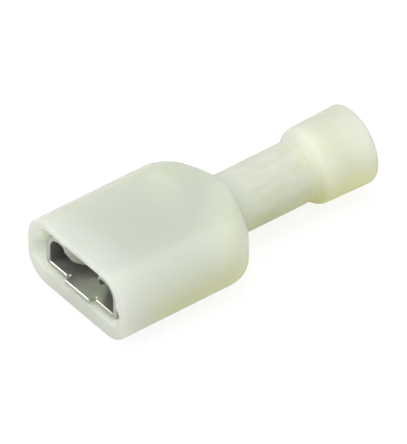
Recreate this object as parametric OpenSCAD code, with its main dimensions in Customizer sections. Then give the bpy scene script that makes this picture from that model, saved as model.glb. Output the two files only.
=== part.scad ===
// Fully insulated female spade terminal: a nylon housing moulded in one piece and,
// pressed into it, a receptacle stamped and rolled from one strip of tinned brass.
// X runs from the mouth, where the tab enters, to the wire end. Z is up, and the
// origin lies under the middle of the part, on the surface that it rests on.

/* [Blade housing] */
// Width of the flat blade housing
housing_w = 11.2; // [10.6:0.1:12.5]
// Height of the flat blade housing
housing_h = 5.4; // [5.2:0.1:6]
// Radius of the four long edges of the blade housing
housing_edge_r = 2.1; // [1.2:0.1:2.2]
// Length of the straight sides, from the mouth to the start of the shoulders
housing_straight = 9.6; // [9:0.1:12]
// Plan radius of the shoulders
shoulder_r = 2.5; // [1.5:0.1:2.8]
// Angle between the shoulder's slant and the axis
shoulder_angle = 62; // [50:1:70]
// Rounding of the rim round the mouth
mouth_rim_r = 0.25; // [0.1:0.05:0.4]
// Depth of the flared lead-in round the sides and roof of the mouth
lead_in_depth = 0.35; // [0.2:0.05:0.5]
// Widening of the mouth over that depth
lead_in_flare = 0.25; // [0.1:0.05:0.35]
// Depth of the tapered relief at each end of the mouth, which guides the tab's edges
side_relief_depth = 1.1; // [0.6:0.1:1.6]
// Widening of the mouth at each end, at its face
side_relief = 0.7; // [0.4:0.05:0.75]
// Height of those reliefs above the floor of the cavity
side_relief_h = 2; // [1.8:0.1:2.8]

/* [Neck and funnel] */
// Outside diameter of the neck where it leaves the shoulders
neck_d = 4.65; // [4.5:0.05:5.2]
// Length of the neck between shoulders and funnel
neck_length = 6.6; // [5:0.1:8]
// Outside diameter of the funnel at its wire end
funnel_d = 6; // [5.4:0.1:7]
// Outside diameter of the funnel where it leaves its own shoulder
funnel_front_d = 5.8; // [5.3:0.1:6.8]
// Length of the funnel with its shoulder
funnel_length = 4.9; // [4:0.1:7]
// Wall of the funnel round the wire entry
funnel_wall = 0.5; // [0.35:0.05:0.7]
// Rounding of the funnel's end
funnel_rim_r = 0.2; // [0.1:0.05:0.25]

/* [Receptacle] */
// Thickness of the brass strip
strip_t = 0.4; // [0.3:0.05:0.5]
// Outside width of the rolled receptacle
receptacle_w = 8; // [7.4:0.1:8.2]
// Outside height of the rolled receptacle
receptacle_h = 3; // [2.8:0.05:3.2]
// Length of the rolled receptacle
receptacle_length = 7.6; // [6.5:0.1:8.5]
// Setback of the receptacle from the face of the mouth
receptacle_setback = 0.5; // [0.2:0.05:1]
// Height of the receptacle's middle above the axis of the barrel
receptacle_lift = 0.22; // [0:0.01:0.3]
// Gap between the lips of the two wings
lip_gap = 1.1; // [0.8:0.1:2]
// Drop of each wing's lip below its crest
lip_drop = 1.6; // [1.3:0.05:1.7]
// Length of the slanted cut at the front corner of each lip
lip_cut = 2; // [0.5:0.1:3]
// Width of the tongue in the base
tongue_w = 2.7; // [2:0.1:3.2]
// Width of each notch beside the tongue
notch_w = 0.3; // [0.2:0.05:0.5]
// Length of the notches beside the tongue
notch_length = 0.05; // [0.05:0.05:0.6]
// How far the tongue reaches in front of the base
tongue_reach = 0.4; // [0:0.05:0.5]

/* [Crimp barrel] */
// Outside diameter of the crimp barrel
barrel_d = 3.7; // [3.5:0.05:3.9]
// Length of the crimp barrel
barrel_length = 7.8; // [5:0.1:8]
// Width of the butt seam along the barrel
seam_w = 0.1; // [0.05:0.05:0.2]
// Width of the trough that joins receptacle and barrel
trough_w = 5.4; // [4.6:0.1:6]
// Length of the transition between receptacle and barrel
transition_length = 2.8; // [2:0.1:3.5]

/* [Fits] */
// Clearance round the receptacle in the housing's cavity
cavity_clearance = 0.3; // [0.15:0.05:0.35]
// Clearance under the receptacle's base, which lies near the floor of the cavity
floor_clearance = 0.1; // [0.05:0.05:0.2]
// Clearance round the barrel in the neck's bore, on the diameter
barrel_clearance = 0.1; // [0.05:0.05:0.2]

/* [Hidden] */

// Steps in each quarter of a rounded section, and along each curve of the loft
corner_steps = 8;
curve_steps = 7;
// Overlap that makes cuts and unions clean
eps = 0.05;
// How far the pieces of one solid reach into each other
join = 0.2;

// Places along the axis, measured from the face of the mouth
shoulder_run = shoulder_r * sin(shoulder_angle);
shoulder_half_w = housing_w / 2 - shoulder_r * (1 - cos(shoulder_angle));
slant_run = (shoulder_half_w - neck_d / 2) / tan(shoulder_angle);
neck_start = housing_straight + shoulder_run + slant_run;
funnel_start = neck_start + neck_length;
overall_length = funnel_start + funnel_length;
barrel_start = receptacle_setback + receptacle_length + transition_length;
barrel_end = barrel_start + barrel_length;
axis_height = max(funnel_d, housing_h) / 2;

// Funnel profile
funnel_shoulder = 1;
funnel_shoulder_r = 0.8;
funnel_bore_r = funnel_d / 2 - funnel_wall;
entry_chamfer = 0.15;
entry_cone = 1.4;
junction_fillet = 0.2;

// Cavity round the receptacle, and the bore round the barrel
cavity_half_w = receptacle_w / 2 + cavity_clearance;
cavity_floor = receptacle_lift - receptacle_h / 2 - floor_clearance;
cavity_roof = receptacle_lift + receptacle_h / 2 + cavity_clearance;
cavity_roof_r = 1.4;
cavity_floor_r = 0.8;
relief_r = 0.8;
cavity_end = receptacle_setback + receptacle_length + cavity_clearance;
bore_r = (barrel_d + barrel_clearance) / 2;
cavity_taper = 3;
stop_gap = 0.1;
stop_length = 0.4;
stop_r = barrel_d / 2 - 0.1;

// Receptacle profile
base_bend_r = 0.5;
crest_bend_r = 1.4;
lip_bend_r = 0.6;
lip_angle = 70;
foot_bend_r = 0.5;
foot_length = 0.3;
lip_tail = (lip_drop - (lip_bend_r + foot_bend_r) * (1 - cos(lip_angle))) / sin(lip_angle);
lip_run = (lip_bend_r + foot_bend_r) * sin(lip_angle) + lip_tail * cos(lip_angle);
crest_end = lip_gap / 2 + foot_length + lip_run;
dimple_r = 1.1;
dimple_h = 0.25;
dimple_place = 3.2;

// Points of an arc round [cx, cy], from angle a0 to a1.
function arc(cx, cy, r, a0, a1, n) =
    [for (i = [0 : n]) let (a = a0 + (a1 - a0) * i / n) [cx + r * cos(a), cy + r * sin(a)]];

// A rounded section across the axis at x: half width w, from z0 to z1, with corner
// radius r above and low_r below.
function section(x, w, z0, z1, r, low_r) =
    [for (p = concat(
        arc(w - r, z1 - r, r, 0, 90, corner_steps),
        arc(r - w, z1 - r, r, 90, 180, corner_steps),
        arc(low_r - w, z0 + low_r, low_r, 180, 270, corner_steps),
        arc(w - low_r, z0 + low_r, low_r, 270, 360, corner_steps))) [x, p[0], p[1]]];

// A closed skin over sections that all hold the same number of points.
module loft(sections) {
    n = len(sections[0]);
    last = len(sections) - 1;
    sides = [for (s = [0 : last - 1], i = [0 : n - 1])
        [s * n + i, (s + 1) * n + i, (s + 1) * n + (i + 1) % n, s * n + (i + 1) % n]];
    front = [for (i = [0 : n - 1]) i];
    back = [for (i = [n - 1 : -1 : 0]) last * n + i];
    polyhedron(points = [for (s = sections, p = s) p], faces = concat([front], sides, [back]));
}

// Blade housing and shoulders as one skin, ending inside the neck.
module blade_shell() {
    w = housing_w / 2;
    h = housing_h / 2;
    neck_r = neck_d / 2;
    root_r = neck_r + junction_fillet / 2;
    rim = [for (i = [0 : 4]) let (a = 90 * i / 4, inset = mouth_rim_r * (1 - sin(a)))
        section(mouth_rim_r * (1 - cos(a)), w - inset, inset - h, h - inset,
            housing_edge_r - inset, housing_edge_r - inset)];
    shoulder = [for (i = [0 : curve_steps]) let (a = shoulder_angle * i / curve_steps)
        section(housing_straight + shoulder_r * sin(a), w - shoulder_r * (1 - cos(a)), -h, h,
            housing_edge_r, housing_edge_r)];
    slant = [for (i = [1 : curve_steps]) let (
        part = i / curve_steps,
        high = root_r + (h - root_r) * sqrt(1 - part * part),
        wide = shoulder_half_w + (root_r - shoulder_half_w) * part,
        edge_r = min(wide - eps, high - eps, housing_edge_r + (root_r - housing_edge_r) * part))
        section(housing_straight + shoulder_run + slant_run * part, wide, -high, high,
            edge_r, edge_r)];
    buried = neck_r - join;
    root = [section(neck_start + junction_fillet, buried, -buried, buried,
        buried - eps, buried - eps)];
    loft(concat(rim, shoulder, slant, root));
}

// Neck and funnel, turned round the axis. The neck starts inside the blade shell.
module neck_shell() {
    r = neck_d / 2;
    rear = funnel_start + funnel_length;
    profile = concat(
        [[0, neck_start - 1], [r, neck_start - 1]],
        arc(r + junction_fillet, funnel_start - junction_fillet, junction_fillet, 180, 130, 3),
        arc(funnel_front_d / 2 - funnel_shoulder_r, funnel_start + funnel_shoulder,
            funnel_shoulder_r, -55, 0, 5),
        arc(funnel_d / 2 - funnel_rim_r, rear - funnel_rim_r, funnel_rim_r, 0, 90, 3),
        [[0, rear]]);
    rotate([0, 90, 0]) rotate_extrude($fn = 96) polygon(profile);
}

// The space inside: flared mouth, cavity, taper, barrel bore, stop and funnel.
module housing_cavity() {
    flare = lead_in_flare;
    relief_w = cavity_half_w + side_relief;
    relief_floor = cavity_floor + join / 2;
    relief_top = cavity_floor + side_relief_h;
    taper_r = bore_r + join;
    loft([
        section(-eps, cavity_half_w + flare, cavity_floor, cavity_roof + flare,
            cavity_roof_r, cavity_floor_r),
        section(lead_in_depth, cavity_half_w, cavity_floor, cavity_roof,
            cavity_roof_r, cavity_floor_r),
        section(cavity_end, cavity_half_w, cavity_floor, cavity_roof,
            cavity_roof_r, cavity_floor_r),
        section(cavity_end + cavity_taper, taper_r, -taper_r, taper_r,
            taper_r - eps, taper_r - eps),
    ]);
    loft([
        section(-join, relief_w + join, relief_floor, relief_top, relief_r, relief_r),
        section(side_relief_depth, cavity_half_w - join, relief_floor, relief_top,
            relief_r, relief_r),
    ]);
    rear = overall_length;
    stop = barrel_end + stop_gap;
    rotate([0, 90, 0]) rotate_extrude($fn = 96) polygon([
        [0, cavity_end + cavity_taper - 1], [bore_r, cavity_end + cavity_taper - 1],
        [bore_r, stop], [stop_r, stop], [stop_r, stop + stop_length],
        [funnel_bore_r, stop + stop_length + entry_cone],
        [funnel_bore_r, rear - entry_chamfer], [funnel_bore_r + entry_chamfer, rear],
        [funnel_bore_r + entry_chamfer, rear + 1], [0, rear + 1]]);
}

module insulator_housing() {
    color("#d9dfcf", 0.6)
        translate([-overall_length / 2, 0, axis_height])
            difference() {
                union() {
                    blade_shell();
                    neck_shell();
                }
                housing_cavity();
            }
}

// One half of the rolled strip across the axis: from the middle of the base, up the side,
// over the crest, steeply down and out flat at the lip. inner is 0 for the outside face,
// strip_t for the inside.
function wing_line(inner) = let (
    w = receptacle_w / 2,
    h = receptacle_h / 2,
    away = [-sin(lip_angle), cos(lip_angle)],
    down = [-cos(lip_angle), -sin(lip_angle)],
    foot = [crest_end, h - lip_bend_r] + (lip_bend_r + foot_bend_r) * away + lip_tail * down)
    concat(
        [[0, inner - h]],
        arc(w - base_bend_r, base_bend_r - h, base_bend_r - inner, 270, 360, 5),
        arc(w - crest_bend_r, h - crest_bend_r, crest_bend_r - inner, 0, 90, 7),
        arc(crest_end, h - lip_bend_r, lip_bend_r - inner, 90, 90 + lip_angle, 5),
        arc(foot[0], foot[1], foot_bend_r + inner, 270 + lip_angle, 270, 5),
        [[lip_gap / 2, foot[1] - foot_bend_r - inner]]);

module wing() {
    outside = wing_line(0);
    inside = wing_line(strip_t);
    polygon(concat(outside, [for (i = [len(inside) - 1 : -1 : 0]) inside[i]]));
}

// The receptacle that grips the tab, with a tongue cut free in its base.
module receptacle() {
    base = -receptacle_h / 2;
    notch_y = (tongue_w + notch_w) / 2;
    cut_y = crest_end - lip_bend_r * sin(lip_angle) / 2;
    slope = (cut_y - lip_gap / 2) / lip_cut;
    cut_floor = base + strip_t + dimple_h / 4;
    difference() {
        rotate([90, 0, 90]) linear_extrude(receptacle_length) {
            wing();
            mirror([1, 0]) wing();
        }
        for (side = [-1, 1]) {
            translate([-1, side * notch_y - notch_w / 2, base - 1])
                cube([notch_length + 1, notch_w, strip_t + 1.2]);
            translate([notch_length, side * notch_y, base - 1])
                cylinder(d = notch_w, h = strip_t + 1.2, $fn = 24);
        }
        translate([0, 0, cut_floor]) linear_extrude(receptacle_h)
            polygon([[-1, cut_y + slope], [lip_cut, lip_gap / 2], [lip_cut, -lip_gap / 2],
                [-1, -cut_y - slope]]);
    }
    translate([-tongue_reach, -tongue_w / 2, base])
        cube([tongue_reach + notch_length / 2, tongue_w, strip_t]);
    intersection() {
        translate([dimple_place, 0, base + strip_t + dimple_h - dimple_r])
            sphere(r = dimple_r, $fn = 48);
        translate([dimple_place - dimple_r, -dimple_r, base + strip_t / 2])
            cube(2 * dimple_r);
    }
}

// A trough that gathers the flat base into the round barrel. Both its ends reach a little
// into what they join, and the inner skin stays inside the barrel's wall.
module trough_skin(inset) {
    base = receptacle_lift - receptacle_h / 2;
    hull() {
        translate([-join, inset - trough_w / 2, base + inset])
            cube([join, trough_w - 2 * inset, receptacle_h / 2]);
        translate([transition_length, 0, 0]) rotate([0, 90, 0])
            cylinder(d = barrel_d - 1.8 * inset, h = join, $fn = 32);
    }
}

module transition() {
    base = receptacle_lift - receptacle_h / 2;
    rim = base + 2.2 * strip_t;
    difference() {
        trough_skin(0);
        trough_skin(strip_t);
        translate([-2 * join, strip_t - trough_w / 2, base + strip_t])
            cube([2 * join, trough_w - 2 * strip_t, receptacle_h]);
        translate([transition_length, 0, 0]) rotate([0, 90, 0])
            cylinder(d = barrel_d - 1.8 * strip_t, h = 2 * join, $fn = 32);
        rotate([90, 0, 0]) linear_extrude(receptacle_w, center = true) polygon([
            [-1, rim], [0, rim], [transition_length - join, barrel_d / 4],
            [transition_length + 1, barrel_d / 4], [transition_length + 1, barrel_d],
            [-1, barrel_d]]);
    }
}

// The barrel that is crimped on the wire, rolled until its edges meet on top.
module barrel() {
    rotate([0, 90, 0]) difference() {
        cylinder(d = barrel_d, h = barrel_length, $fn = 96);
        translate([0, 0, -eps])
            cylinder(d = barrel_d - 2 * strip_t, h = barrel_length + 2 * eps, $fn = 96);
        translate([-barrel_d, -seam_w / 2, -eps])
            cube([barrel_d, seam_w, barrel_length + 2 * eps]);
    }
}

module receptacle_terminal() {
    color("#b9bcb6")
        translate([receptacle_setback - overall_length / 2, 0, axis_height]) {
            translate([0, 0, receptacle_lift]) receptacle();
            translate([receptacle_length, 0, 0]) transition();
            translate([receptacle_length + transition_length, 0, 0]) barrel();
        }
}

insulator_housing();
receptacle_terminal();
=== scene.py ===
# %% [markdown]
# # Female spade terminal, fully insulated
# A push-on wire terminal has two pieces. A tin-plated brass receptacle grips a flat tab
# with two rolled wings, and a moulded nylon sleeve covers it and guides the wire in.
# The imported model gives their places; this lesson gives them smooth skins and finishes.

# %% Load the frame
from math import cos, sin, radians, sqrt, tan
import bmesh
import bpy
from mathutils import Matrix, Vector


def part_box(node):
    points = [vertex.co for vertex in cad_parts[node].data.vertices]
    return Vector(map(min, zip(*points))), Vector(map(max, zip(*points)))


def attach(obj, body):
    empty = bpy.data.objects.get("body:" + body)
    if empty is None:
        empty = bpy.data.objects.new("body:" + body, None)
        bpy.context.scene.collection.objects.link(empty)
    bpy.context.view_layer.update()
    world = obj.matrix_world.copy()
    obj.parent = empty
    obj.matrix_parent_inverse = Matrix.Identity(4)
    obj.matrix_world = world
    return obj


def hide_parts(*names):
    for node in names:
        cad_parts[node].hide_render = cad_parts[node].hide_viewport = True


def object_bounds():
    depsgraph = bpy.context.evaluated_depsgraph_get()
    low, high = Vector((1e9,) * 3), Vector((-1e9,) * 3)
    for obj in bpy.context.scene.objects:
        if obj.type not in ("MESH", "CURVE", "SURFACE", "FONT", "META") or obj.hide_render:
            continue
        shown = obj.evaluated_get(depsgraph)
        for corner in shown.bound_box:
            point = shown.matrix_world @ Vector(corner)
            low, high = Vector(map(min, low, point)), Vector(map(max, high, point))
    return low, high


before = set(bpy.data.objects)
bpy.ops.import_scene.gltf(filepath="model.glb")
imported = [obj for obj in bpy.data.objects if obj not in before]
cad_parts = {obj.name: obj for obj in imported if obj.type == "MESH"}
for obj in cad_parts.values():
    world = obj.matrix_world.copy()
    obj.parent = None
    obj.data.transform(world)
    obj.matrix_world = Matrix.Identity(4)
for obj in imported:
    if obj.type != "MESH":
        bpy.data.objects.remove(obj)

cad_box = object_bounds()
MM = 0.001
low, high = (Vector(corner) for corner in cad_box)
centre = (low + high) / 2
print("the object measures, in mm:", [round(v / MM, 2) for v in high - low])

# %% [markdown]
# ## Three helpers
# Blender's sockets take linear colour, and a maker reads colours as hex, so one function
# turns one into the other. The second adds a node with its settings and its inputs,
# which is all that building a material or a Geometry Nodes tree needs. The third hands
# over an empty tree to build in.

# %% Colour and node helpers
def linear(hex_colour):
    """An sRGB hex colour as a linear RGBA tuple."""
    parts = [int(hex_colour[i:i + 2], 16) / 255 for i in (1, 3, 5)]
    return tuple(part / 12.92 if part <= 0.04045 else ((part + 0.055) / 1.055) ** 2.4
                 for part in parts) + (1,)


def add(tree, kind, settings=None, inputs=None):
    """Adds a node. Each input is a plain value, or the output socket to link from."""
    node = tree.nodes.new(kind)
    for name, value in (settings or {}).items():
        setattr(node, name, value)
    for key, value in (inputs or {}).items():
        if isinstance(value, bpy.types.NodeSocket):
            tree.links.new(value, node.inputs[key])
        else:
            node.inputs[key].default_value = value
    return node


def empty_tree(owner):
    """The node tree of a material or a world, with nothing in it yet."""
    owner.use_nodes = True
    owner.node_tree.nodes.clear()
    return owner.node_tree


print("cream in linear:", [round(v, 3) for v in linear("#d6dccf")])

# %% [markdown]
# ## Camera
# The part is small and is shown from a little way above, with its mouth towards the
# viewer on the left. A long lens from a metre away keeps its parallel edges parallel,
# as a maker's catalogue view does.

# %% Place the camera
azimuth, elevation = radians(-37.66), radians(40)
distance_mm, view_height_mm, sensor_mm = 1030, 30.8333, 36
aim_left_mm, aim_down_mm = 0.80, 0.736
nearest_m, farthest_m = 0.05, 20
back = Vector((sin(azimuth) * cos(elevation), -cos(azimuth) * cos(elevation), sin(elevation)))
right = Vector((cos(azimuth), sin(azimuth), 0))
up = back.cross(right)
aim = centre - right * aim_left_mm * MM - up * aim_down_mm * MM
camera_data = bpy.data.cameras.new("catalogue_camera")
camera_data.sensor_width = sensor_mm
camera_data.lens = distance_mm * sensor_mm / view_height_mm
camera_data.clip_start, camera_data.clip_end = nearest_m, farthest_m
camera = bpy.data.objects.new("catalogue_camera", camera_data)
camera.location = aim + back * distance_mm * MM
camera.rotation_euler = back.to_track_quat("Z", "Y").to_euler()
bpy.context.scene.collection.objects.link(camera)
bpy.context.scene.camera = camera
print("lens, in mm:", round(camera_data.lens))

# %% [markdown]
# ## Light
# Catalogue shots of small hardware use a white tent: soft light from nearly all
# round, with one larger window above. Big area lamps close to the part make the same
# soft edges, and the plain world fills what they leave.

# %% Soft lamps
def lamp(name, place_mm, size_mm, watts):
    """A round area lamp at a place from the part's middle, turned towards it."""
    data = bpy.data.lights.new(name, "AREA")
    data.shape, data.size, data.energy = "DISK", size_mm * MM, watts
    held = bpy.data.objects.new(name, data)
    held.location = centre + Vector(place_mm) * MM
    held.rotation_euler = (held.location - centre).to_track_quat("Z", "Y").to_euler()
    bpy.context.scene.collection.objects.link(held)


lamp("window_above", (-40, 20, 260), 260, 0.40)
lamp("fill_mouth", (-215, 125, 160), 180, 0.42)
lamp("fill_side", (120, -240, 60), 200, 0.16)
print("lamps:", [light.name for light in bpy.data.lights])

# %% [markdown]
# ## White world
# The tent is white wherever it shows: straight from the camera, mirrored in the metal
# and through the nylon. What it sends to the part as plain light is about a quarter
# less, so that pale nylon keeps its colour. Light Path tells the two apart.

# %% World
def shown_rays(tree):
    """1 for a ray that shows the background itself, 0 for one that gathers its light."""
    path = add(tree, "ShaderNodeLightPath")
    seen = path.outputs["Is Camera Ray"]
    for ray in ("Is Transmission Ray", "Is Glossy Ray"):
        seen = add(tree, "ShaderNodeMath", {"operation": "MAXIMUM"},
                   {0: seen, 1: path.outputs[ray]}).outputs[0]
    return seen


lit_strength, shown_strength = 0.72, 1.0
world = bpy.data.worlds.new("white_tent")
tree = empty_tree(world)
strength = add(tree, "ShaderNodeMapRange", None, {
    "Value": shown_rays(tree), "To Min": lit_strength, "To Max": shown_strength})
tent = add(tree, "ShaderNodeBackground", None,
           {"Color": linear("#ffffff"), "Strength": strength.outputs[0]})
add(tree, "ShaderNodeOutputWorld", None, {"Surface": tent.outputs[0]})
bpy.context.scene.world = world
print("world:", world.name)

# %% [markdown]
# ## White floor
# The floor is a sheet of white card. Where it shows it mostly glows at white, so that it
# has no grey edge, but a fifth of it stays a lit surface, and that fifth keeps the
# part's soft shadow.

# %% Floor
glow_share, glow_strength, floor_half = 0.8, 1.05, 3.0
floor_finish = bpy.data.materials.new("white_card_matt")
tree = empty_tree(floor_finish)
share = add(tree, "ShaderNodeMath", {"operation": "MULTIPLY"},
            {0: shown_rays(tree), 1: glow_share})
card = add(tree, "ShaderNodeBsdfDiffuse", None, {"Color": linear("#f4f4f4")})
glow = add(tree, "ShaderNodeEmission", None,
           {"Color": linear("#ffffff"), "Strength": glow_strength})
both = add(tree, "ShaderNodeMixShader", None,
           {0: share.outputs[0], 1: card.outputs[0], 2: glow.outputs[0]})
add(tree, "ShaderNodeOutputMaterial", None, {"Surface": both.outputs[0]})

sheet = bpy.data.meshes.new("floor")
corners = [(x * floor_half, y * floor_half, low.z)
           for x, y in ((-1, -1), (1, -1), (1, 1), (-1, 1))]
sheet.from_pydata(corners, [], [(0, 1, 2, 3)])
sheet.materials.append(floor_finish)
floor = bpy.data.objects.new("floor", sheet)
bpy.context.scene.collection.objects.link(floor)
print("floor at z =", low.z)

# %% [markdown]
# ## Natural nylon
# The sleeve is injection-moulded with no pigment, most likely in nylon 66. It is milky:
# light enters, scatters and leaves a little way off. Its tint changes from place to place,
# and those tints and their zones are given, not worked out from the walls. So the
# material first measures where it is. Each zone is read along one axis of the Object
# coordinates: it is 0 at the first place and 1 at the second, with a soft change between
# them. Two zones have more than one bound, and theirs are multiplied.
# Some of the tints are painted light and shade: over the metal, low down, and the streaks on the
# neck.

# %% Zones of the nylon
nylon = bpy.data.materials.new("natural_nylon_moulded")
tree = empty_tree(nylon)
place = add(tree, "ShaderNodeTexCoord").outputs["Object"]
where = add(tree, "ShaderNodeSeparateXYZ", None, {0: place})
along, height = where.outputs["X"], where.outputs["Z"]
aside = add(tree, "ShaderNodeMath", {"operation": "ABSOLUTE"},
            {0: where.outputs["Y"]}).outputs[0]
zone = {}
for name, axis, start_mm, end_mm in (
        ("near_axis", aside, 5.2, 3.2), ("behind_mouth", along, -11.2, -8.5),
        ("before_neck", along, 2.0, 0.0), ("neck", along, 0.8, 2.4),
        ("funnel", along, 6.3, 7.6), ("wire_end", along, 8.0, 9.8),
        ("low_down", height, 4.4, 0.8), ("past_mouth", along, -11.0, -8.0),
        ("low_funnel", along, 6.4, 8.0)):
    zone[name] = add(tree, "ShaderNodeMapRange", {"interpolation_type": "SMOOTHSTEP"}, {
        "Value": axis, "From Min": start_mm * MM, "From Max": end_mm * MM}).outputs[0]
# Two zones carry painted shade: over the metal, and low down on the sleeve.
zone.update(over_metal=1.0, underside=1.0)
for name, bound in (("over_metal", "near_axis"), ("over_metal", "behind_mouth"),
                    ("over_metal", "before_neck"), ("underside", "low_down"),
                    ("underside", "past_mouth")):
    zone[name] = add(tree, "ShaderNodeMath", {"operation": "MULTIPLY"},
                     {0: zone[name], 1: zone[bound]}).outputs[0]
print("nylon zones:", list(zone))

# %% [markdown]
# ## Colours of the nylon
# The body has faint clouds a few millimetres across. The neck, where the wall is thin,
# has long soft streaks of painted highlight and shade, for the metal barrel behind it.
# The colours are laid over one another like thin coats: each coat has a share, a colour
# under it and a colour over it, and each of those is a hex colour or an earlier coat.

# %% Coats of colour
cloud_mm, streak_long_mm, streak_wide_mm = 4.0, 2.86, 1.0
clouds = add(tree, "ShaderNodeTexNoise", None, {
    "Vector": place, "Scale": 1 / (cloud_mm * MM), "Detail": 3.0, "Roughness": 0.55})
drawn = add(tree, "ShaderNodeMapping", None, {"Vector": place, "Scale": tuple(
    1 / (size * MM) for size in (streak_long_mm, streak_wide_mm, streak_wide_mm))})
streaks = add(tree, "ShaderNodeTexNoise", None, {
    "Vector": drawn.outputs[0], "Scale": 1.0, "Detail": 4.0, "Roughness": 0.6})
streaky = add(tree, "ShaderNodeMapRange", {"interpolation_type": "SMOOTHSTEP"},
              {"Value": streaks.outputs[0], "From Min": 0.35, "From Max": 0.65})
coat = {}
for name, share, beneath, over in (
        ("milky", clouds.outputs[0], "#f4f8ec", "#ebf2e0"),
        # Painted highlight and shade: bright and dark streaks for the metal barrel behind the neck.
        ("streaked", streaky.outputs[0], "#feffef", "#eff4db"),
        # Painted shade: over the metal the nylon is a shade darker and greener.
        ("shaded", zone["over_metal"], "milky", "#e4ecda"),
        ("neck", zone["neck"], "shaded", "streaked"),
        ("funnel", zone["funnel"], "neck", "#f3f6e5"),
        ("upper", zone["wire_end"], "funnel", "#e6e9d7"),
        # Painted shade: the sleeve is yellower low down, most of all under the neck and at the
        # funnel, for light there that has come through more nylon. The sleeve looks yellower
        # low down, most of all under the neck and at the funnel, perhaps because light from
        # there has been through more nylon.
        ("low_neck", zone["neck"], "#eff1bf", "#eaefa6"),
        ("lower", zone["low_funnel"], "low_neck", "#fafab4"),
        ("body", zone["underside"], "upper", "lower")):
    first, second = (coat[side] if side in coat else linear(side) for side in (beneath, over))
    coat[name] = add(tree, "ShaderNodeMix", {"data_type": "RGBA"},
                     {0: share, 6: first, 7: second}).outputs[2]
print("coats of nylon:", list(coat))

# %% [markdown]
# ## Skin of the nylon
# The skin is a fine satin, as a spark-eroded mould leaves it. It spreads the highlights,
# so the sleeve looks soft and a little waxy. A little under half of the light
# that goes in is scattered close below the skin, and the rest passes on through.

# %% Nylon skin
# Such a satin is usually finer, about 0.12 mm, and it is drawn coarser, to show.
satin_mm = 0.2
satin = add(tree, "ShaderNodeTexNoise", None,
            {"Vector": place, "Scale": 1 / (satin_mm * MM), "Detail": 2.0})
skin = add(tree, "ShaderNodeBump", None, {
    "Height": satin.outputs[0], "Strength": 0.12, "Distance": 0.02 * MM})
gloss = add(tree, "ShaderNodeMapRange", None,
            {"Value": clouds.outputs[0], "To Min": 0.48, "To Max": 0.60})
nylon_skin = add(tree, "ShaderNodeBsdfPrincipled", None, {
    "Base Color": coat["body"], "Roughness": gloss.outputs[0], "IOR": 1.53,
    "Transmission Weight": 0.56, "Subsurface Weight": 1.0,
    "Subsurface Radius": (1.0, 1.0, 0.8), "Subsurface Scale": 2.5 * MM,
    "Normal": skin.outputs[0]})
add(tree, "ShaderNodeOutputMaterial", None, {"Surface": nylon_skin.outputs[0]})
print("nylon nodes:", len(tree.nodes))

# %% [markdown]
# ## Tinned brass
# Such receptacles are usually stamped from brass strip and plated with tin, a soft
# grey-white metal. The side walls and the rolled wings look darker than the flat base,
# so their tin is given a darker colour: painted shade of the hollow inside the sleeve.
# The cause isn't known, so their duller tin is set by eye, and the hidden barrel is taken
# to be as bright as the base. The material works out the painted shade zone first.

# %% Painted shade zone of the tin
tin = bpy.data.materials.new("tinned_brass_rolled")
tree = empty_tree(tin)
place = add(tree, "ShaderNodeTexCoord").outputs["Object"]
where = add(tree, "ShaderNodeSeparateXYZ", None, {0: place})
aside = add(tree, "ShaderNodeMath", {"operation": "ABSOLUTE"}, {0: where.outputs["Y"]})
zone = {}
for name, axis, start_mm, end_mm in (("side_walls", aside.outputs[0], 3.3, 3.9),
                                     ("wings", where.outputs["Z"], 1.3, 2.4),
                                     ("mouth_end", where.outputs["X"], -3.4, -4.6)):
    zone[name] = add(tree, "ShaderNodeMapRange", {"interpolation_type": "SMOOTHSTEP"}, {
        "Value": axis, "From Min": start_mm * MM, "From Max": end_mm * MM}).outputs[0]
raised = add(tree, "ShaderNodeMath", {"operation": "MAXIMUM"},
             {0: zone["side_walls"], 1: zone["wings"]})
painted_shade_share = add(tree, "ShaderNodeMath", {"operation": "MULTIPLY"},
            {0: raised.outputs[0], 1: zone["mouth_end"]})
print("tin zones:", list(zone))

# %% [markdown]
# ## Skin of the tin
# Rolling leaves fine lines along the strip, and the plating a faint mottle. The lines
# turn the gloss up and down, so a highlight on them looks brushed.

# %% Tin skin
line_long_mm, line_gap_mm, mottle_mm = 3.33, 0.154, 1.11
stretch = add(tree, "ShaderNodeMapping", None, {"Vector": place, "Scale": tuple(
    1 / (size * MM) for size in (line_long_mm, line_gap_mm, line_gap_mm))})
lines = add(tree, "ShaderNodeTexNoise", None,
            {"Vector": stretch.outputs[0], "Scale": 1.0, "Detail": 4.0})
mottle = add(tree, "ShaderNodeTexNoise", None,
             {"Vector": place, "Scale": 1 / (mottle_mm * MM), "Detail": 3.0})
coat = {}
# The walls and wings near the mouth take the darker tin: painted shade inside the hollow.
for name, share, beneath, over in (("bright", mottle, "#fafbf6", "#e4e6de"),
                                   ("dull", mottle, "#b0b2ab", "#8f928a"),
                                   ("tin", painted_shade_share, "bright", "dull")):
    first, second = (coat[side] if side in coat else linear(side) for side in (beneath, over))
    coat[name] = add(tree, "ShaderNodeMix", {"data_type": "RGBA"},
                     {0: share.outputs[0], 6: first, 7: second}).outputs[2]
tin_gloss = add(tree, "ShaderNodeMapRange", None,
                {"Value": lines.outputs[0], "To Min": 0.26, "To Max": 0.44})
rolled = add(tree, "ShaderNodeBump", None, {
    "Height": lines.outputs[0], "Strength": 0.25, "Distance": 0.02 * MM})
tin_skin = add(tree, "ShaderNodeBsdfPrincipled", None, {
    "Base Color": coat["tin"], "Metallic": 0.8, "Roughness": tin_gloss.outputs[0],
    "Normal": rolled.outputs[0]})
add(tree, "ShaderNodeOutputMaterial", None, {"Surface": tin_skin.outputs[0]})
print("tin nodes:", len(tree.nodes))

# %% [markdown]
# ## Sheared edges
# Such strip is usually plated before it is stamped, which leaves its cut edges bare and
# torn rough by the press. No clear brass colour shows on them, so they get a grey that is
# duller and darker than the tin, with only a little yellow in it.

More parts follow.
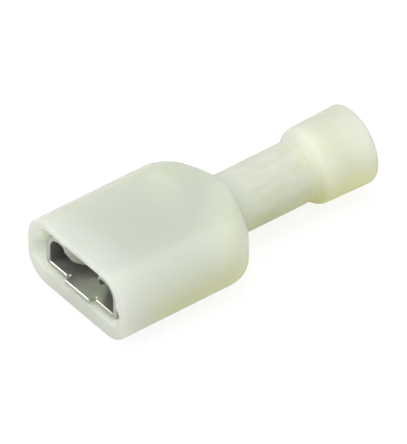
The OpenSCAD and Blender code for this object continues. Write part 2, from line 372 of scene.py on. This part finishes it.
# %% Sheared brass
# Tears of about 0.1 mm are assumed, and they are drawn coarser, to show.
tear_mm = 0.167
sheared = bpy.data.materials.new("sheared_brass_edge")
tree = empty_tree(sheared)
place = add(tree, "ShaderNodeTexCoord").outputs["Object"]
tears = add(tree, "ShaderNodeTexNoise", None,
            {"Vector": place, "Scale": 1 / (tear_mm * MM), "Detail": 3.0})
torn = add(tree, "ShaderNodeBump", None, {
    "Height": tears.outputs[0], "Strength": 0.4, "Distance": 0.03 * MM})
edge_colour = add(tree, "ShaderNodeMix", {"data_type": "RGBA"},
                  {0: tears.outputs[0], 6: linear("#bcbeb4"), 7: linear("#a0a399")})
edge_skin = add(tree, "ShaderNodeBsdfPrincipled", None, {
    "Base Color": edge_colour.outputs[2], "Metallic": 0.9, "Roughness": 0.5,
    "Normal": torn.outputs[0]})
add(tree, "ShaderNodeOutputMaterial", None, {"Surface": edge_skin.outputs[0]})
print("edge nodes:", len(tree.nodes))

# %% [markdown]
# ## Burnished rims
# A hair-thin line of light runs along the rims at the mouth, as where a die has rubbed
# an edge smooth. The metal there is made glossier than the rolled faces, with only a
# faint ripple.

# %% Burnished tin
ripple_mm = 0.333
burnished = bpy.data.materials.new("burnished_tin_rim")
tree = empty_tree(burnished)
place = add(tree, "ShaderNodeTexCoord").outputs["Object"]
ripple = add(tree, "ShaderNodeTexNoise", None,
             {"Vector": place, "Scale": 1 / (ripple_mm * MM), "Detail": 2.0})
rim_colour = add(tree, "ShaderNodeMix", {"data_type": "RGBA"},
                 {0: ripple.outputs[0], 6: linear("#b4b6ae"), 7: linear("#a2a49c")})
rim_gloss = add(tree, "ShaderNodeMapRange", None,
                {"Value": ripple.outputs[0], "To Min": 0.22, "To Max": 0.34})
rim_skin = add(tree, "ShaderNodeBsdfPrincipled", None, {
    "Base Color": rim_colour.outputs[2], "Metallic": 1.0, "Roughness": rim_gloss.outputs[0]})
add(tree, "ShaderNodeOutputMaterial", None, {"Surface": rim_skin.outputs[0]})
print("rim nodes:", len(tree.nodes))

# %% [markdown]
# ## The housing as a rule
# Every cut across the sleeve is a rounded rectangle, from the flat blade housing to the
# round neck, so one rule draws all of it: a list of stations along the axis, and one
# ring of points that each station stretches to its own width, height and corners. The
# sizes are in mm, measured from the mouth and from the axis.

# %% Sizes of the housing
housing_low, housing_high = (Vector(corner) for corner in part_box("insulator_housing"))
wide = (housing_high.y - housing_low.y) / 2 / MM
length = (housing_high.x - housing_low.x) / MM
tall, straight, edge_r = 2.7, 9.6, 2.1
shoulder_r, shoulder_angle = 2.5, radians(62)
neck_r, neck_length, fillet = 2.325, 6.6, 0.2
shoulder_wide = wide - shoulder_r * (1 - cos(shoulder_angle))
slope_length = (shoulder_wide - neck_r) / tan(shoulder_angle)
neck_start = straight + shoulder_r * sin(shoulder_angle) + slope_length
funnel_start = neck_start + neck_length
stations = []


def station(x, w, z0, z1, top_corner, low_corner):
    """A cut at x: its half width, its floor and roof, and its corner radii."""
    stations.append((x, w, z0, z1, top_corner, low_corner))


def round_station(x, r):
    """A cut at x that is a full circle."""
    station(x, r, -r, r, r, r)


print("neck starts at", round(neck_start, 2), "mm, funnel at", round(funnel_start, 2), "mm")

# %% [markdown]
# ## The blade housing
# The outside starts at the rounded lip of the mouth and runs straight. Its two sides
# then turn in round the shoulders and slope down to the neck, while its flat top and
# bottom dive to the neck in a quarter of an ellipse.

# %% Stations of the blade housing
mouth_round, mouth_steps, shoulder_steps = 0.25, 6, 12
straight_rows = (0.6, 3.0, 6.0, 9.2)
for i in range(mouth_steps + 1):
    a = radians(90 * i / mouth_steps)
    inset = mouth_round * (1 - sin(a))
    station(mouth_round * (1 - cos(a)), wide - inset, inset - tall, tall - inset,
            edge_r - inset, edge_r - inset)
for x in straight_rows:
    station(x, wide, -tall, tall, edge_r, edge_r)
for i in range(shoulder_steps + 1):
    a = shoulder_angle * i / shoulder_steps
    station(straight + shoulder_r * sin(a), wide - shoulder_r * (1 - cos(a)), -tall, tall,
            edge_r, edge_r)
for i in range(1, shoulder_steps + 1):
    part = i / shoulder_steps
    w = shoulder_wide + (neck_r - shoulder_wide) * part
    h = neck_r + (tall - neck_r) * sqrt(1 - part * part)
    corner = min(w, h, edge_r + (neck_r - edge_r) * part)
    station(neck_start - (1 - part) * slope_length, w, -h, h, corner, corner)
print("stations so far:", len(stations))

# %% [markdown]
# ## The neck and the funnel
# The neck is a plain round tube. A small fillet leads into the funnel, whose front is a
# round nose and whose back opens a little. The wire end is rounded too.

# %% Stations of the neck and the funnel
funnel_front_r, funnel_r = 2.9, 3.0
funnel_bend, funnel_nose, nose_angle, nose_steps = 0.8, 1.0, 55, 6
wire_round, wire_steps = 0.2, 4
neck_rows, fillet_turns, funnel_row = (0.1, 2.5, 5.0), (0, 12, 25, 38, 50), 2.5
for step in neck_rows:
    round_station(neck_start + step, neck_r)
for a in fillet_turns:
    round_station(funnel_start - fillet + fillet * sin(radians(a)),
                  neck_r + fillet * (1 - cos(radians(a))))
for i in range(nose_steps + 1):
    a = radians(-nose_angle + nose_angle * i / nose_steps)
    round_station(funnel_start + funnel_nose + funnel_bend * sin(a),
                  funnel_front_r - funnel_bend + funnel_bend * cos(a))
round_station(funnel_start + funnel_row, (funnel_front_r + funnel_r) / 2)
for i in range(wire_steps + 1):
    a = radians(90 * i / wire_steps)
    round_station(length - wire_round + wire_round * sin(a),
                  funnel_r - wire_round + wire_round * cos(a))
print("stations so far:", len(stations))

# %% [markdown]
# ## The inside
# From the wire end the same row of stations comes back inside: the funnel's bore, a cone
# down to the stop that centres the wire, the seat of the barrel, a taper, and the flat
# cavity out to the mouth, which flares a little. The last station meets the first, so
# outside and inside are one closed skin.

# %% Stations of the inside
funnel_bore, wire_chamfer, barrel_end, stop_r, bore_r = 2.5, 0.15, 18.8, 1.75, 1.9
cavity_wide, cavity_low, cavity_high, cavity_end = 4.3, -1.38, 2.02, 8.4
cavity_top_corner, cavity_low_corner, mouth_flare = 1.4, 0.8, 0.25
taper_end, taper_r, seat_row = cavity_end + 3, bore_r + 0.2, cavity_end + 5
stop_end, cone_end, bore_row = barrel_end + 0.4, barrel_end + 1.8, barrel_end + 3.0
cavity_rows, flare_depth = (cavity_end, cavity_end - 3, 2.5), 0.35
for x, r in ((length, funnel_bore + wire_chamfer), (length - wire_chamfer, funnel_bore),
             (bore_row, funnel_bore), (cone_end, funnel_bore), (stop_end, stop_r),
             (barrel_end, stop_r), (barrel_end, bore_r), (seat_row, bore_r),
             (taper_end, bore_r), (taper_end, taper_r)):
    round_station(x, r)
for x, flare in (*((row, 0) for row in cavity_rows), (flare_depth, 0), (0, mouth_flare)):
    station(x, cavity_wide + flare, cavity_low, cavity_high + flare,
            cavity_top_corner, cavity_low_corner)
print("stations in all:", len(stations))

# %% [markdown]
# ## The ring
# Each ring point holds where on the rounded rectangle it belongs: which corner centre it
# goes with, and which way it stands off from it. Extra points lie on the flats, close to
# the corners, so that smooth shading keeps the flats flat.

# %% Ring points
corner_steps = 14
flats = (0.94, 0.5, 0.0, -0.5, -0.94)
ring = []
for k, (sy, sz) in enumerate(((1, 1), (-1, 1), (-1, -1), (1, -1))):
    for i in range(corner_steps + 1):
        a = radians(90 * k + 90 * i / corner_steps)
        ring.append((sy, sz, cos(a), sin(a)))
    end = radians(90 * (k + 1))
    for f in flats:
        # After corners 0 and 2 a flat runs across the width, and after 1 and 3 up or down.
        if k % 2 == 0:
            ring.append((sy * f, sz, cos(end), sin(end)))
        else:
            ring.append((sy, sz * f, cos(end), sin(end)))
print("ring points:", len(ring))

# %% [markdown]
# ## Points that carry numbers
# Geometry Nodes reads the sizes from two meshes of loose points. One has a point for each
# station and the other a point for each place on the ring, and each size is a named
# attribute on those points.

# %% Point clouds
def point_cloud(name, rows, names):
    """A mesh of loose points that carries one float attribute for each name."""
    mesh = bpy.data.meshes.new(name)
    mesh.from_pydata([(0, 0, 0)] * len(rows), [], [])
    for column, attribute in enumerate(names):
        layer = mesh.attributes.new(attribute, "FLOAT", "POINT")
        layer.data.foreach_set("value", [row[column] for row in rows])
    held = bpy.data.objects.new(name, mesh)
    bpy.context.scene.collection.objects.link(held)
    return held


station_names = ("x", "half_width", "low", "high", "top_corner", "low_corner")
ring_names = ("flat_y", "flat_z", "turn_y", "turn_z")
ring_points = point_cloud("ring_points", ring, ring_names)
print("ring attributes:", ring_names)

# %% [markdown]
# ## A tree that lofts
# The tree draws a flat grid, one row for each station and one column for each ring
# point, with one of each to spare. The spare ones repeat the first, which is what
# closes the skin. Whole-number arithmetic on the point's index says where it belongs.

# %% The loft's grid
loft = bpy.data.node_groups.new("section_loft", "GeometryNodeTree")
for name, kind in (("Stations", "NodeSocketGeometry"), ("Ring", "NodeSocketObject"),
                   ("Rows", "NodeSocketInt"), ("Columns", "NodeSocketInt"),
                   ("Finish", "NodeSocketMaterial")):
    loft.interface.new_socket(name, in_out="INPUT", socket_type=kind)
loft.interface.new_socket("Mesh", in_out="OUTPUT", socket_type="NodeSocketGeometry")
given = add(loft, "NodeGroupInput").outputs
index = add(loft, "GeometryNodeInputIndex").outputs[0]
count = {"rows": given["Rows"], "columns": given["Columns"], "index": index}
for name, operation, first, second in (("grid_rows", "ADD", "rows", 1),
                                       ("grid_columns", "ADD", "columns", 1),
                                       ("grid_row", "DIVIDE_FLOOR", "index", "grid_columns"),
                                       ("grid_column", "MODULO", "index", "grid_columns"),
                                       ("row", "MODULO", "grid_row", "rows"),
                                       ("column", "MODULO", "grid_column", "columns")):
    count[name] = add(loft, "FunctionNodeIntegerMath", {"operation": operation},
                      {0: count[first], 1: count.get(second, second)}).outputs[0]
grid = add(loft, "GeometryNodeMeshGrid", None,
           {"Vertices X": count["grid_rows"], "Vertices Y": count["grid_columns"]})
print("grid nodes:", len(loft.nodes))

# %% [markdown]
# ## From numbers to places
# Each grid point samples its station and its ring point, and works out its own y and z.
# Rise is 0 at the lower corner centres and 1 at the upper ones, and it picks the corner
# radius and the centre's height between the two. Each line of the table is a name, an
# operation and the terms that it takes.

# %% Read the sizes and place the points
ring_shape = add(loft, "GeometryNodeObjectInfo", None, {"Object": given["Ring"]})
sources = ((station_names, given["Stations"], count["row"]),
           (ring_names, ring_shape.outputs["Geometry"], count["column"]))
value = {}
for names, geometry, number in sources:
    for name in names:
        named = add(loft, "GeometryNodeInputNamedAttribute", {"data_type": "FLOAT"}, {"Name": name})
        value[name] = add(
            loft, "GeometryNodeSampleIndex", {"data_type": "FLOAT", "domain": "POINT"},
            {"Geometry": geometry, "Value": named.outputs[0], "Index": number}).outputs[0]
for name, operation, *terms in (
        ("rise", "MULTIPLY_ADD", "flat_z", 0.5, 0.5),
        ("corner_gap", "SUBTRACT", "top_corner", "low_corner"),
        ("corner", "MULTIPLY_ADD", "corner_gap", "rise", "low_corner"),
        ("base", "ADD", "low", "low_corner"),
        ("crown", "SUBTRACT", "high", "top_corner"),
        ("centre_gap", "SUBTRACT", "crown", "base"),
        ("centre_z", "MULTIPLY_ADD", "centre_gap", "rise", "base"),
        ("z", "MULTIPLY_ADD", "corner", "turn_z", "centre_z"),
        ("reach", "SUBTRACT", "half_width", "corner"),
        ("centre_y", "MULTIPLY", "flat_y", "reach"),
        ("y", "MULTIPLY_ADD", "corner", "turn_y", "centre_y")):
    inputs = {i: value.get(term, term) for i, term in enumerate(terms)}
    value[name] = add(loft, "ShaderNodeMath", {"operation": operation}, inputs).outputs[0]
spot = add(loft, "ShaderNodeCombineXYZ", None, {"X": value["x"], "Y": value["y"], "Z": value["z"]})
print("values worked out:", len(value))

# %% [markdown]
# ## Close the skin
# Set Position moves the grid, and Merge by Distance joins the spare row and column to the
# first ones. The tree ends in Realize Instances and Set Material, so that its result is a
# real mesh with its finish.

# %% End of the loft
merge_distance = 0.001 * MM
moved = add(loft, "GeometryNodeSetPosition", None,
            {"Geometry": grid.outputs["Mesh"], "Position": spot.outputs[0]})
joined = add(loft, "GeometryNodeMergeByDistance", None,
             {"Geometry": moved.outputs[0], "Distance": merge_distance})
real = add(loft, "GeometryNodeRealizeInstances", None, {"Geometry": joined.outputs[0]})
finished = add(loft, "GeometryNodeSetMaterial", None,
               {"Geometry": real.outputs[0], "Material": given["Finish"]})
add(loft, "NodeGroupOutput", None, {0: finished.outputs[0]})
print("loft tree nodes:", len(loft.nodes))

# %% [markdown]
# ## Plain, tidy meshes
# The evaluated result of a modifier becomes a mesh of its own. It is then cleaned:
# doubles are merged where a distance is given, faces are turned outwards, and only edges
# that turn more than a given angle stay crisp.

# %% Mesh helpers
sliver = 0.0001 * MM


def plain_mesh(held, name):
    """The evaluated object as a plain mesh of its own."""
    bpy.context.view_layer.update()
    seen = held.evaluated_get(bpy.context.evaluated_depsgraph_get())
    mesh = bpy.data.meshes.new_from_object(seen)
    mesh.name = name
    return mesh


def tidy(mesh, sharp_angle, merge=0.0):
    """Cleans and smooths a mesh, and says whether it is closed."""
    work = bmesh.new()
    work.from_mesh(mesh)
    if merge:
        bmesh.ops.remove_doubles(work, verts=work.verts, dist=merge)
    bmesh.ops.dissolve_degenerate(work, edges=work.edges, dist=sliver)
    bmesh.ops.recalc_face_normals(work, faces=work.faces)
    for face in work.faces:
        face.smooth = True
    for edge in work.edges:
        edge.smooth = len(edge.link_faces) == 2 and edge.calc_face_angle(0) < radians(sharp_angle)
    work.to_mesh(mesh)
    closed = all(len(edge.link_faces) == 2 for edge in work.edges)
    work.free()
    return closed


print("slivers under", sliver / MM, "mm are removed")

# %% [markdown]
# ## Run the tree
# The station sizes are turned to metres and moved to the frame before they go in. The
# inputs are set by their identifiers, the result becomes a plain mesh, and the modifier
# goes.

# %% Loft the housing skin
moulded_turn = 38


def loft_piece(name, rows_mm, finish):
    """Runs the loft over rows of stations in mm, measured from the mouth and the axis."""
    axis_z = (housing_low.z + housing_high.z) / 2
    rows_m = [(housing_low.x + x * MM, w * MM, axis_z + z0 * MM, axis_z + z1 * MM,
               top_corner * MM, low_corner * MM)
              for x, w, z0, z1, top_corner, low_corner in rows_mm]
    source = point_cloud(name + "_stations", rows_m, station_names)
    modifier = source.modifiers.new("loft", "NODES")
    modifier.node_group = loft
    sockets = {item.name: item.identifier for item in loft.interface.items_tree
               if item.in_out == "INPUT"}
    modifier[sockets["Ring"]] = ring_points
    modifier[sockets["Rows"]] = len(rows_m)
    modifier[sockets["Columns"]] = len(ring)
    modifier[sockets["Finish"]] = finish
    mesh = plain_mesh(source, name)
    source.modifiers.remove(modifier)
    bpy.data.objects.remove(source)
    return mesh


shell = loft_piece("nylon_sleeve", stations, nylon)
print("sleeve closed:", tidy(shell, moulded_turn), "faces:", len(shell.polygons))
sleeve = bpy.data.objects.new("nylon_sleeve", shell)
bpy.context.scene.collection.objects.link(sleeve)

# %% [markdown]
# ## Reliefs at the ends of the mouth
# The mouth is wider at its two ends, low down, most likely to guide the flat tab's edges.
# The same loft draws that wider wedge, and a Boolean cuts it out of the sleeve. The loft
# has no end caps, so the wedge shrinks to a needle at each end, out of the nylon.

# %% Cut the reliefs
relief_start, relief_depth, relief_corner = -0.2, 1.1, 0.8
relief_low, relief_high = cavity_low + 0.1, cavity_low + 2.0
front_wide, back_wide = cavity_wide + 0.86, cavity_wide - 0.2
needle = (0.01, 0.3, 0.32, 0.01, 0.01)
wedge = [
    (relief_start, *needle),
    (relief_start, front_wide, relief_low, relief_high, relief_corner, relief_corner),
    (relief_depth, back_wide, relief_low, relief_high, relief_corner, relief_corner),
    (relief_depth, *needle)]
cutter_mesh = loft_piece("relief_cutter", wedge, nylon)
print("cutter closed:", tidy(cutter_mesh, moulded_turn))
cutter = bpy.data.objects.new("relief_cutter", cutter_mesh)
bpy.context.scene.collection.objects.link(cutter)
cut = sleeve.modifiers.new("reliefs", "BOOLEAN")
cut.operation, cut.solver, cut.object = "DIFFERENCE", "EXACT", cutter
shell = plain_mesh(sleeve, "nylon_sleeve")
sleeve.modifiers.remove(cut)
bpy.data.objects.remove(cutter)
print("sleeve closed:", tidy(shell, moulded_turn), "faces:", len(shell.polygons))
sleeve.data = shell

# %% [markdown]
# ## Metal from the CAD
# The receptacle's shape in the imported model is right, but its triangles are loose, so a
# copy of it is merged first. The cut faces that look out of the mouth take the sheared
# finish, and the triangles of each one are joined into one flat face.

# %% Receptacle copy
stamped_turn, weld = 30, 0.002 * MM
finishes = (tin, sheared, burnished)
ROLLED, SHEARED, BURNISHED = range(len(finishes))
mouth_depth, outward, flat_turn = 2.8 * MM, -0.5, radians(1)
tin_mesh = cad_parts["receptacle_terminal"].data.copy()
tin_mesh.name = "tinned_receptacle"
print("receptacle closed:", tidy(tin_mesh, stamped_turn, weld))
tin_mesh.materials.clear()
for finish in finishes:
    tin_mesh.materials.append(finish)
work = bmesh.new()
work.from_mesh(tin_mesh)
for face in work.faces:
    at_mouth = face.calc_center_median().x < low.x + mouth_depth
    face.material_index = SHEARED if at_mouth and face.normal.x < outward else ROLLED
inside_cut = [edge for edge in work.edges if edge.calc_face_angle(0) < flat_turn
              and all(face.material_index == SHEARED for face in edge.link_faces)]
bmesh.ops.dissolve_edges(work, edges=inside_cut)
print("cut faces:", sum(face.material_index == SHEARED for face in work.faces))

# %% [markdown]
# ## Broken rims
# The stamped edges are knife-sharp in the copy. A Bevel modifier breaks the rim of each
# cut face a little, and gives the new faces the burnished finish. It reads a weight on
# each edge: full on the rim, and less in the two tiny notches beside the tongue.

# %% Bevel the rims
rim_width, rim_segments, sharp_turn, notch_share = 0.035 * MM, 1, radians(50), 0.35
notch_x, notch_y = (0.8 * MM, 1.05 * MM), (1.32 * MM, 1.68 * MM)
weight = work.edges.layers.float.new("bevel_weight_edge")
for edge in work.edges:
    middle = (edge.verts[0].co + edge.verts[1].co) / 2
    in_notch = (notch_x[0] < middle.x - low.x < notch_x[1]
                and notch_y[0] < abs(middle.y) < notch_y[1])
    on_rim = any(face.material_index == SHEARED for face in edge.link_faces)
    if on_rim and edge.calc_face_angle(0) > sharp_turn:
        edge[weight] = notch_share if in_notch else 1.0
print("rim edges:", sum(edge[weight] > 0 for edge in work.edges))
work.to_mesh(tin_mesh)
work.free()
receptacle = bpy.data.objects.new("tinned_receptacle", tin_mesh)
bpy.context.scene.collection.objects.link(receptacle)
rim = receptacle.modifiers.new("press_round", "BEVEL")
rim.width, rim.segments, rim.limit_method = rim_width, rim_segments, "WEIGHT"
rim.use_clamp_overlap, rim.material = False, BURNISHED
receptacle.data = plain_mesh(receptacle, "tinned_receptacle")
receptacle.modifiers.clear()
print("rims closed:", tidy(receptacle.data, stamped_turn), "faces:", len(receptacle.data.polygons))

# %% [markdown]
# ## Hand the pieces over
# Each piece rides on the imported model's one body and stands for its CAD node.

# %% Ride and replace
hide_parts("insulator_housing")
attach(sleeve, "root")
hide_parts("receptacle_terminal")
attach(receptacle, "root")
bpy.data.objects.remove(ring_points)
bpy.context.scene.view_settings.view_transform = "Standard"
